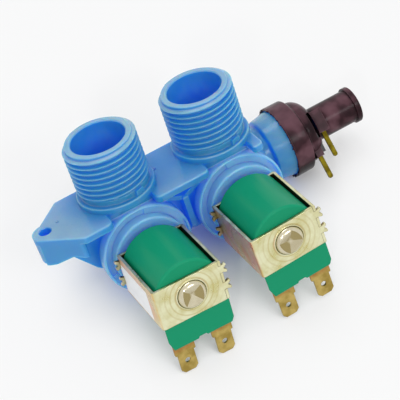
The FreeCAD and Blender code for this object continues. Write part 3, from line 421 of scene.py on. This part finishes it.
def zinc(name, centre_x, stain):
    material, tree, shader = finish_of(name)
    grain = use_group(tree, grain_group, Fine=3200.0, Coarse=170.0)
    edges = use_group(tree, edge_group, Radius=0.0003, Gain=6.0)
    places = use_group(tree, open_group, Reach=0.016, Low=0.3, Middle=0.75, High=0.95)
    straw = (0.60, 0.56, 0.27)
    pale = (0.76, 0.75, 0.50)
    patch = ramp(tree, grain, "Cloud", [(0.36, 0.0), (0.60, 1.0)])
    plated = mixed(tree, patch, "Color", straw, pale)
    # pressed halos, which fade away from the hole
    way_out = off_axis(tree, centre_x)
    reach = add(tree, "VectorMath", {"operation": "LENGTH"})
    join(tree, way_out, "Vector", reach, 0)
    waves = add(tree, "Math", {"operation": "MULTIPLY"})
    join(tree, reach, "Value", waves, 0)
    waves.inputs[1].default_value = 2.0 * math.pi / halo_step
    halo = add(tree, "Math", {"operation": "SINE"})
    join(tree, waves, "Value", halo, 0)
    rings = ramp(tree, halo, "Value", [(0.3, 0.0), (1.0, 0.55)])
    near = add(tree, "MapRange", {"interpolation_type": "SMOOTHSTEP"})
    join(tree, reach, "Value", near, "Value")
    for socket, value in (("From Min", halo_strong_r), ("From Max", halo_weak_r),
                          ("To Min", 1.0), ("To Max", 0.12)):
        near.inputs[socket].default_value = value
    faded = add(tree, "Math", {"operation": "MULTIPLY"})
    join(tree, rings, "Color", faded, 0)
    join(tree, near, "Result", faded, 1)
    ringed = mixed(tree, faded, "Value", (plated, "Result"), (0.50, 0.40, 0.13))
    # brown and purple passivation on the faces that look sideways
    facing = add(tree, "NewGeometry")
    axes = add(tree, "SeparateXYZ")
    join(tree, facing, "Normal", axes, "Vector")
    side = add(tree, "Math", {"operation": "ABSOLUTE"})
    join(tree, axes, "X", side, 0)
    sided = ramp(tree, side, "Value", [(0.5, 0.0), (0.9, 1.0)])
    spot = place(tree)
    blot = add(tree, "TexNoise", Scale=160.0, Detail=5.0, Roughness=0.6)
    join(tree, spot, "Object", blot, "Vector")
    blots = ramp(tree, blot, "Fac", [(0.36, 0.35 * stain), (0.60, stain)])
    both = add(tree, "Math", {"operation": "MULTIPLY"})
    join(tree, sided, "Color", both, 0)
    join(tree, blots, "Color", both, 1)
    tint = add(tree, "TexNoise", Scale=95.0, Detail=3.0, Roughness=0.5)
    join(tree, spot, "Object", tint, "Vector")
    tints = ramp(tree, tint, "Fac", [(0.42, 0.0), (0.58, 1.0)])
    stain_colour = mixed(tree, tints, "Color", (0.80, 0.36, 0.26), (0.74, 0.42, 0.09))
    stained = mixed(tree, both, "Value", (ringed, "Result"), (stain_colour, "Result"))
    # painted shade: darker in the corners; and darker lines where the sheet is bent or
    # cut
    corner_shade = add(tree, "Math", {"operation": "SUBTRACT"})
    corner_shade.inputs[0].default_value = 1.0
    join(tree, places, "Hidden", corner_shade, 1)
    shaded_zinc = mixed(tree, corner_shade, "Value", (stained, "Result"), (0.05, 0.038, 0.012))
    lines = add(tree, "Math", {"operation": "MULTIPLY"})
    join(tree, edges, "Edge", lines, 0)
    join(tree, tints, "Color", lines, 1)
    lined = mixed(tree, lines, "Value", (shaded_zinc, "Result"), (0.22, 0.15, 0.04))
    join(tree, lined, "Result", shader, "Base Color")
    shader.inputs["Metallic"].default_value = 0.85
    gloss = ramp(tree, grain, "Cloud", [(0.3, 0.24), (0.7, 0.40)])
    join(tree, gloss, "Color", shader, "Roughness")
    bumped(tree, shader, grain, edges, 0.25)
    return material


zinc_left = zinc("zinc_left", valve_axis_x[0], 0.8)
zinc_right = zinc("zinc_right", valve_axis_x[1], 1.0)
print("zinc finishes:", zinc_left.name, zinc_right.name)


# %% [markdown]
# Plain metals need less: a base colour, a roughness and some grain. The brass of
# the terminals has darker tarnish in its patches and a red tint near its root,
# where the hot solder coloured it.

# %% Bright and dull metals
solder_top_z = -0.0388
solder_fade = 0.0024


def metal(name, colour, dark, roughness, fine=2600.0, coarse=260.0, edge=None,
          red_above=None):
    material, tree, shader = finish_of(name)
    grain = use_group(tree, grain_group, Fine=fine, Coarse=coarse)
    edges = use_group(tree, edge_group, Radius=0.0002, Gain=5.0)
    patch = ramp(tree, grain, "Cloud", [(0.38, 0.0), (0.62, 0.9)])
    tone = mixed(tree, patch, "Color", colour, dark)
    if red_above is not None:
        spot = place(tree)
        axes = add(tree, "SeparateXYZ")
        join(tree, spot, "Object", axes, "Vector")
        root = add(tree, "MapRange")
        join(tree, axes, "Z", root, "Value")
        root.inputs["From Min"].default_value = red_above - solder_fade
        root.inputs["From Max"].default_value = red_above
        root.inputs["To Max"].default_value = 0.85
        tone = mixed(tree, root, "Result", (tone, "Result"), (0.40, 0.17, 0.055))
    if edge is None:
        edge = tuple(min(1.0, 1.3 * c) for c in colour)
    edged = mixed(tree, edges, "Edge", (tone, "Result"), edge)
    join(tree, edged, "Result", shader, "Base Color")
    shader.inputs["Metallic"].default_value = 1.0
    gloss = ramp(tree, grain, "Cloud", [(0.3, roughness), (0.8, roughness + 0.12)])
    join(tree, gloss, "Color", shader, "Roughness")
    bumped(tree, shader, grain, edges, 0.12)
    return material


terminal_brass = metal("terminal_brass", (0.55, 0.41, 0.13), (0.33, 0.23, 0.05), 0.32,
                       edge=(0.24, 0.15, 0.03), red_above=solder_top_z)
blade_brass = metal("blade_brass", (0.12, 0.095, 0.007), (0.05, 0.036, 0.003), 0.30,
                    edge=(0.09, 0.06, 0.006))
spring_wire = metal("spring_wire", (0.72, 0.71, 0.68), (0.5, 0.49, 0.47), 0.2)
soft_iron = metal("soft_iron", (0.46, 0.45, 0.43), (0.3, 0.29, 0.28), 0.35)
enamelled_wire = metal("enamelled_wire", (0.55, 0.20, 0.07), (0.3, 0.1, 0.04), 0.3)
print("metals:", terminal_brass.name, spring_wire.name, soft_iron.name)


# %% [markdown]
# Rubber and cast resin hardly shine. Both are near black with a fine bump.

# %% Rubber and resin
def dull(name, colour, roughness):
    material, tree, shader = finish_of(name)
    grain = use_group(tree, grain_group, Fine=1400.0, Coarse=200.0)
    edges = use_group(tree, edge_group, Radius=0.0002, Gain=4.0)
    patch = ramp(tree, grain, "Cloud", [(0.35, 0.0), (0.75, 0.6)])
    greyer = tuple(min(1.0, c * 2.2 + 0.01) for c in colour)
    tone = mixed(tree, patch, "Color", colour, greyer)
    join(tree, tone, "Result", shader, "Base Color")
    gloss = ramp(tree, grain, "Cloud", [(0.3, roughness), (0.8, roughness + 0.15)])
    join(tree, gloss, "Color", shader, "Roughness")
    bumped(tree, shader, grain, edges, 0.3)
    return material


rubber = dull("rubber", (0.018, 0.018, 0.019), 0.6)
resin = dull("sensor_resin", (0.010, 0.010, 0.011), 0.4)
print("dull finishes:", rubber.name, resin.name)


# %% [markdown]
# Each CAD node keeps its own mesh and only gets a finish. The rule goes by the
# start of the node's name, and the yokes take the finish of their own side.

# %% Give every CAD node its finish
finish_by_name = {
    "valve_body": blue_plastic, "bonnet": blue_plastic, "inlet_screen": white_plastic,
    "pilot_insert": white_plastic, "flow_washer": rubber, "diaphragm": rubber,
    "guide_seal": rubber, "outlet_seal": rubber, "armature_tip": rubber,
    "guide_tube": spring_wire, "armature_spring": spring_wire, "pole_piece": soft_iron,
    "armature_left": soft_iron, "armature_right": soft_iron, "coil_case": green_plastic,
    "bobbin": bobbin_plastic, "winding": enamelled_wire, "terminal": terminal_brass,
    "outlet_cap": brown_plastic, "sensor_body": resin, "sensor_blade": blade_brass,
    "yoke_front_left": zinc_left, "yoke_rear_left": zinc_left,
    "yoke_front_right": zinc_right, "yoke_rear_right": zinc_right,
}
for name, node in nodes.items():
    found = [key for key in finish_by_name if name.startswith(key)]
    node.data.materials.clear()
    node.data.materials.append(finish_by_name[max(found, key=len)])
print("finished nodes:", len(nodes))


# %% [markdown]
# New pieces are built with bmesh and their place is in the mesh, so every object
# stays at the origin. This helper turns a bmesh into such an object and makes it
# ride on the valve's main body.

# %% Helper for new pieces
def piece(name, mesh, material, body="valve"):
    bmesh.ops.recalc_face_normals(mesh, faces=mesh.faces[:])
    data = bpy.data.meshes.new(name)
    mesh.to_mesh(data)
    mesh.free()
    data.materials.append(material)
    made = bpy.data.objects.new(name, data)
    scene.collection.objects.link(made)
    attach(made, body)
    print("made", name, "with", len(data.polygons), "faces")
    return made


print("helper for new pieces ready")


# %% [markdown]
# A paper label is stuck on the left side of the left yoke. The real one is
# printed; here it stays bare. It is a thin sheet, a little wavy because paper
# never lies quite flat, with a wall given by solidify.

# %% Bare label
label_paper, tree, shader = finish_of("label_paper")
grain = use_group(tree, grain_group, Fine=2600.0, Coarse=300.0)
edges = use_group(tree, edge_group, Radius=0.0001, Gain=4.0)
fibre = ramp(tree, grain, "Cloud", [(0.3, 0.0), (0.8, 0.5)])
paper = mixed(tree, fibre, "Color", (0.92, 0.92, 0.91), (0.80, 0.79, 0.77))
join(tree, paper, "Result", shader, "Base Color")
shader.inputs["Roughness"].default_value = 0.38
bumped(tree, shader, grain, edges, 0.25)

label_y = (-0.0415, -0.0198)
label_z = (-0.0270 - valve_axis_z, -0.0150 - valve_axis_z)
label_t = 0.00006
label_glue = 0.00002
label_wave = 0.00003
yoke_side_x = -0.01315
coil_turn_left = math.radians(2.5)

label = bmesh.new()
bmesh.ops.create_grid(label, x_segments=26, y_segments=14, size=0.5)
for vertex in label.verts:
    u = vertex.co.x + 0.5
    v = vertex.co.y + 0.5
    # the wave dies out at the rim, where the paper is pressed down
    rim = min(u, 1.0 - u, v, 1.0 - v)
    lift = label_wave * min(1.0, 8.0 * rim) * noise.noise((5.0 * u, 4.0 * v, 0.3))
    vertex.co = Vector((yoke_side_x - label_glue - lift,
                        label_y[0] + (label_y[1] - label_y[0]) * u,
                        label_z[0] + (label_z[1] - label_z[0]) * v))
bmesh.ops.recalc_face_normals(label, faces=label.faces[:])
bmesh.ops.solidify(label, geom=label.faces[:], thickness=label_t)
bmesh.ops.rotate(label, verts=label.verts[:], cent=(0.0, 0.0, 0.0),
                 matrix=Matrix.Rotation(coil_turn_left, 3, "Y"))
bmesh.ops.translate(label, verts=label.verts[:], vec=(valve_axis_x[0], 0.0, valve_axis_z))
piece("bare_label", label, label_paper)


# %% [markdown]
# The guide tube is drawn from thin stainless sheet, and its closed end shows in
# the middle of each yoke. The steel is bright. The faces on the left and right that
# slope in towards the axis, the sides of the pressed hollow, get a darker gold
# tint: a painted dark reflection.

# %% Stainless finish with painted reflection in the hollow
# a face leans in towards the axis by its place times its normal, and the
# painted dark reflection is full at this value
hollow_full = 0.4 * MM


def stainless_finish(name, centre_x):
    material, tree, shader = finish_of(name)
    grain = use_group(tree, grain_group, Fine=2600.0, Coarse=420.0)
    edges = use_group(tree, edge_group, Radius=0.00025, Gain=5.0)
    way_out = off_axis(tree, centre_x)
    facing = add(tree, "NewGeometry")
    inward = add(tree, "VectorMath", {"operation": "DOT_PRODUCT"})
    join(tree, facing, "Normal", inward, 0)
    join(tree, way_out, "Vector", inward, 1)
    hollow = add(tree, "MapRange")
    join(tree, inward, "Value", hollow, "Value")
    for socket, value in (("From Min", 0.0), ("From Max", -hollow_full)):
        hollow.inputs[socket].default_value = value
    axes = add(tree, "SeparateXYZ")
    join(tree, facing, "Normal", axes, "Vector")
    side = add(tree, "Math", {"operation": "ABSOLUTE"})
    join(tree, axes, "X", side, 0)
    sided = ramp(tree, side, "Value", [(0.12, 0.15), (0.3, 0.9)])
    both = add(tree, "Math", {"operation": "MULTIPLY"})
    join(tree, hollow, "Result", both, 0)
    join(tree, sided, "Color", both, 1)
    steel = mixed(tree, grain, "Cloud", (0.56, 0.50, 0.34), (0.74, 0.69, 0.53))
    # painted dark reflection: the sloping left and right sides of the hollow are darker
    # gold
    painted_hollow_reflection = mixed(tree, both, "Value", (steel, "Result"), (0.33, 0.26, 0.10))
    edged = mixed(tree, edges, "Edge", (painted_hollow_reflection, "Result"), (0.30, 0.24, 0.09))
    join(tree, edged, "Result", shader, "Base Color")
    shader.inputs["Metallic"].default_value = 1.0
    gloss = ramp(tree, grain, "Cloud", [(0.3, 0.16), (0.8, 0.26)])
    join(tree, gloss, "Color", shader, "Roughness")
    bumped(tree, shader, grain, edges, 0.1)
    return material


print("stainless finish ready")


# %% [markdown]
# A square punch has pressed a shallow four sided hollow into the dome of each
# tube. The tube is turned from a profile with spin, the punch is a four sided
# cone, and a boolean cut leaves its mark with crisp edges. The finished tube
# takes the place of the plain one from CAD.

# %% Guide tubes with their pressed ends
tube_r = 5.3 * MM
tube_wall = 0.38 * MM
tube_flange_t = 0.8 * MM
dome_back = 1.0 * MM
dome_round = 1.9 * MM
plug_t = 3.4 * MM
punch_half = 3.9 * MM
punch_deep = 1.5 * MM
punch_turn_left = 5.0
punch_turn_right = -28.0


def guide_tube(side, centre_x, punch_turn):
    low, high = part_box("guide_tube_" + side)
    front, rear = low.y + dome_back, high.y
    flange_r = 0.5 * (high.x - low.x)
    flange_y = rear - tube_flange_t
    outline = [(0.0, front)]
    for step in range(13):
        angle = 0.5 * math.pi * step / 12
        outline.append((tube_r - dome_round + dome_round * math.sin(angle),
                        front + dome_round - dome_round * math.cos(angle)))
    outline += [(tube_r, flange_y), (flange_r, flange_y), (flange_r, rear),
                (tube_r, rear), (tube_r - tube_wall, flange_y),
                (tube_r - tube_wall, front + plug_t), (0.0, front + plug_t)]
    turned = bmesh.new()
    dots = [turned.verts.new((centre_x + r, y, valve_axis_z)) for r, y in outline]
    lines = [turned.edges.new((a, b)) for a, b in zip(dots, dots[1:])]
    bmesh.ops.spin(turned, geom=dots + lines, cent=(centre_x, 0.0, valve_axis_z),
                   axis=(0.0, 1.0, 0.0), angle=2.0 * math.pi, steps=72, use_merge=True)
    bmesh.ops.remove_doubles(turned, verts=turned.verts[:], dist=0.000002)
    tube = piece("tube_" + side, turned, stainless_finish("stainless_" + side, centre_x))

    # the square punch: its point is punch_deep behind the front of the dome
    punch = bmesh.new()
    reach = 3.0
    bmesh.ops.create_cone(punch, cap_ends=True, segments=4,
                          radius1=reach * punch_half * math.sqrt(2.0), radius2=0.0,
                          depth=reach * punch_deep)
    bmesh.ops.rotate(punch, verts=punch.verts[:], cent=(0.0, 0.0, 0.0),
                     matrix=Matrix.Rotation(math.radians(45.0 + punch_turn), 3, "Z"))
    bmesh.ops.rotate(punch, verts=punch.verts[:], cent=(0.0, 0.0, 0.0),
                     matrix=Matrix.Rotation(math.radians(-90.0), 3, "X"))
    bmesh.ops.translate(punch, verts=punch.verts[:],
                        vec=(centre_x, front + punch_deep - 0.5 * reach * punch_deep,
                             valve_axis_z))
    bmesh.ops.recalc_face_normals(punch, faces=punch.faces[:])
    punch_mesh = bpy.data.meshes.new("punch")
    punch.to_mesh(punch_mesh)
    punch.free()
    punch_tool = bpy.data.objects.new("punch", punch_mesh)
    scene.collection.objects.link(punch_tool)
    cut = tube.modifiers.new("punched", "BOOLEAN")
    cut.object = punch_tool
    cut.operation = "DIFFERENCE"
    cut.solver = "EXACT"
    bpy.context.view_layer.update()
    ready = tube.evaluated_get(bpy.context.evaluated_depsgraph_get())
    pressed = bpy.data.meshes.new_from_object(ready)
    tube.modifiers.clear()
    tube.data = pressed
    bpy.data.objects.remove(punch_tool)
    pressed.shade_smooth()
    pressed.set_sharp_from_angle(angle=math.radians(14.0))
    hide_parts("guide_tube_" + side)
    print("tube", side, "has", len(pressed.polygons), "faces")


guide_tube("left", valve_axis_x[0], punch_turn_left)
guide_tube("right", valve_axis_x[1], punch_turn_right)


# %% [markdown]
# The cap is welded to the neck, and the weld squeezes out a thin ragged bead.
# A bead is a ring of small section: a strip of four points is spun round the
# outlet's axis, and its free edge is pulled in and out with seeded noise.

# %% Weld flash round the outlet cap
outlet_axis = Vector((0.0, 0.0047, -0.0188))
cap_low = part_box("outlet_cap")[0]
rim_x = cap_low.x
rim_inner = 0.01298
rim_outer = 0.01392
flash_behind = 0.0001
flash_ahead = 0.00022
flash_lean = 0.00012
ragged_len = 0.00028
tooth_len = 0.00055
tooth_out = 0.00016
steps = 180

flash = bmesh.new()
strip = [flash.verts.new((rim_x + dx, outlet_axis.y, outlet_axis.z + r))
         for dx, r in ((flash_behind, rim_outer), (-flash_ahead, rim_outer - flash_lean),
                       (-flash_ahead, rim_inner + flash_lean), (flash_behind, rim_inner))]
runs = [flash.edges.new((a, b)) for a, b in zip(strip, strip[1:] + strip[:1])]
bmesh.ops.spin(flash, geom=strip + runs, cent=outlet_axis, axis=(1.0, 0.0, 0.0),
               angle=2.0 * math.pi, steps=steps, use_merge=True)
bmesh.ops.remove_doubles(flash, verts=flash.verts[:], dist=0.000001)
for vertex in flash.verts:
    out = vertex.co - outlet_axis
    out.x = 0.0
    if vertex.co.x < rim_x:
        angle = math.atan2(out.z, out.y)
        ragged = noise.noise((9.0 * math.cos(angle), 9.0 * math.sin(angle), 1.7))
        tooth = noise.noise((34.0 * math.cos(angle), 34.0 * math.sin(angle), 4.2))
        vertex.co.x -= max(0.0, ragged_len * ragged + tooth_len * tooth)
        vertex.co += out.normalized() * (tooth_out * tooth)
piece("weld_flash", flash, brown_plastic)


# %% [markdown]
# Moulding leaves small marks. A short stub on the ear shows where the plastic
# was injected, and low round marks on the plate are from the ejector pins.

# %% Moulding marks on the plate
mark_sink = 0.00002


def low_mark(name, x, y, radius, height):
    mark = bmesh.new()
    bmesh.ops.create_cone(mark, cap_ends=True, segments=24, radius1=radius,
                          radius2=0.8 * radius, depth=height)
    top = [e for e in mark.edges if all(v.co.z > 0.0 for v in e.verts)]
    bmesh.ops.bevel(mark, geom=top, offset=0.3 * height, affect="EDGES", segments=2,
                    profile=0.5, material=-1)
    bmesh.ops.translate(mark, verts=mark.verts[:], vec=(x, y, 0.5 * height - mark_sink))
    piece(name, mark, blue_plastic)


low_mark("gate_mark", -0.0433, -0.0007, 0.0005, 0.00022)
low_mark("ejector_mark", -0.0045, 0.0003, 0.0011, 0.00012)


# %% [markdown]
# Inside, the spring and the diaphragm give way when the valve opens; their outer
# ends stay where they are held. Here each one only gets a mesh of its own.

# %% Springs and diaphragms get meshes of their own
for side in ("left", "right"):
    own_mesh(nodes["armature_spring_" + side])
    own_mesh(nodes["diaphragm_" + side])


# %% [markdown]
# The valve lies as it did for the photograph: on the corner of a terminal, the
# underside of the left chamber and the rim of the outlet cap. The floor goes
# through those three points, so it is tilted in the valve's frame. Seen from
# below it is left out, so that views from behind still show the valve. For
# camera, mirror and glass rays the paper away from the valve is a little brighter
# than its light makes it, as in a product photograph whose background was cleaned
# to near white.

# %% Floor
floor_up = Vector((0.0360, -0.3519, 0.9354)).normalized()
floor_height = -0.03159
floor_half = 3.0

paper_white, tree, shader = finish_of("floor_white")
shader.inputs["Base Color"].default_value = (0.88, 0.88, 0.88, 1.0)
shader.inputs["Roughness"].default_value = 0.75
out = [n for n in tree.nodes if n.type == "OUTPUT_MATERIAL"][0]
under = add(tree, "NewGeometry")
clear = add(tree, "BsdfTransparent")
either = add(tree, "MixShader")
lift = add(tree, "Emission", Color=(0.925, 0.925, 0.925, 1.0), Strength=1.0)
watched = background_rays(tree)
amount = add(tree, "Math", {"operation": "MULTIPLY"})
lifted = add(tree, "MixShader")
openness = use_group(tree, open_group, Reach=0.03, Low=0.2, Middle=0.95, High=1.0)
clean = add(tree, "MapRange")
join(tree, openness, "Hidden", clean, "Value")
clean.inputs["To Max"].default_value = 0.75
join(tree, watched, "Value", amount, 0)
join(tree, clean, "Result", amount, 1)
join(tree, amount, "Value", lifted, 0)
join(tree, shader, "BSDF", lifted, 1)
join(tree, lift, "Emission", lifted, 2)
join(tree, under, "Backfacing", either, 0)
join(tree, lifted, "Shader", either, 1)
join(tree, clear, "BSDF", either, 2)
join(tree, either, "Shader", out, "Surface")

ground = bmesh.new()
bmesh.ops.create_grid(ground, x_segments=2, y_segments=2, size=floor_half)
lean = floor_up.to_track_quat("Z", "Y").to_matrix()
bmesh.ops.rotate(ground, verts=ground.verts[:], cent=(0.0, 0.0, 0.0), matrix=lean)
bmesh.ops.translate(ground, verts=ground.verts[:], vec=floor_up * floor_height)
ground_mesh = bpy.data.meshes.new("floor")
ground.to_mesh(ground_mesh)
ground.free()
ground_mesh.materials.append(paper_white)
floor = bpy.data.objects.new("floor", ground_mesh)
scene.collection.objects.link(floor)
print("floor lies", round(1000.0 * floor_height, 2), "mm along its normal")


# %% [markdown]
# The light is a plain studio: a pale world all round, a large soft key lamp from
# the right, a small one whose glint shows on the rounded edges, and one overhead.
# The world is a little darker on the left, as in the photograph, where it lights
# the valve. Camera, mirror and glass rays see it as the near white of the
# photograph's background.

# %% World and lamps
world = bpy.data.worlds.new("studio")
scene.world = world
world.use_nodes = True
tree = world.node_tree
tree.nodes.clear()
seen = add(tree, "Background", Color=(0.94, 0.94, 0.94, 1.0), Strength=1.0)
lit = add(tree, "Background", Strength=1.0)
where = place(tree)
across = add(tree, "VectorMath", {"operation": "DOT_PRODUCT"})
across.inputs[1].default_value = (0.9, -0.3, 0.3)
join(tree, where, "Generated", across, 0)
weight = add(tree, "MapRange")
join(tree, across, "Value", weight, "Value")
for socket, value in (("From Min", -0.9), ("From Max", 0.9)):
    weight.inputs[socket].default_value = value
glow = mixed(tree, weight, "Result", (0.55, 0.56, 0.58), (0.88, 0.89, 0.90))
join(tree, glow, "Result", lit, "Color")
watched = background_rays(tree)
either = add(tree, "MixShader")
world_out = add(tree, "OutputWorld")
join(tree, watched, "Value", either, 0)
join(tree, lit, "Background", either, 1)
join(tree, seen, "Background", either, 2)
join(tree, either, "Shader", world_out, "Surface")


def soft_lamp(name, place_m, target_m, size, power, colour=(1.0, 1.0, 1.0)):
    data = bpy.data.lights.new(name, "AREA")
    data.shape = "RECTANGLE"
    data.size = size[0]
    data.size_y = size[1]
    data.energy = power
    data.color = colour
    lamp = bpy.data.objects.new(name, data)
    lamp.location = place_m
    aim = Vector(target_m) - Vector(place_m)
    lamp.rotation_mode = "QUATERNION"
    lamp.rotation_quaternion = aim.to_track_quat("-Z", "Y")
    scene.collection.objects.link(lamp)
    return lamp


valve_middle = (0.0, -0.015, -0.01)
soft_lamp("key", (0.22, -0.92, 0.42), valve_middle, (0.45, 0.25), 2.4)
soft_lamp("glint", (-0.42, -0.80, 0.36), valve_middle, (0.07, 0.07), 1.2)
soft_lamp("top", (0.0, 0.10, 0.80), valve_middle, (0.45, 0.35), 1.5)
scene.view_settings.view_transform = "Standard"


# %% [markdown]
# Last, the script says that it is done.

# %% Finish
print("scene done")
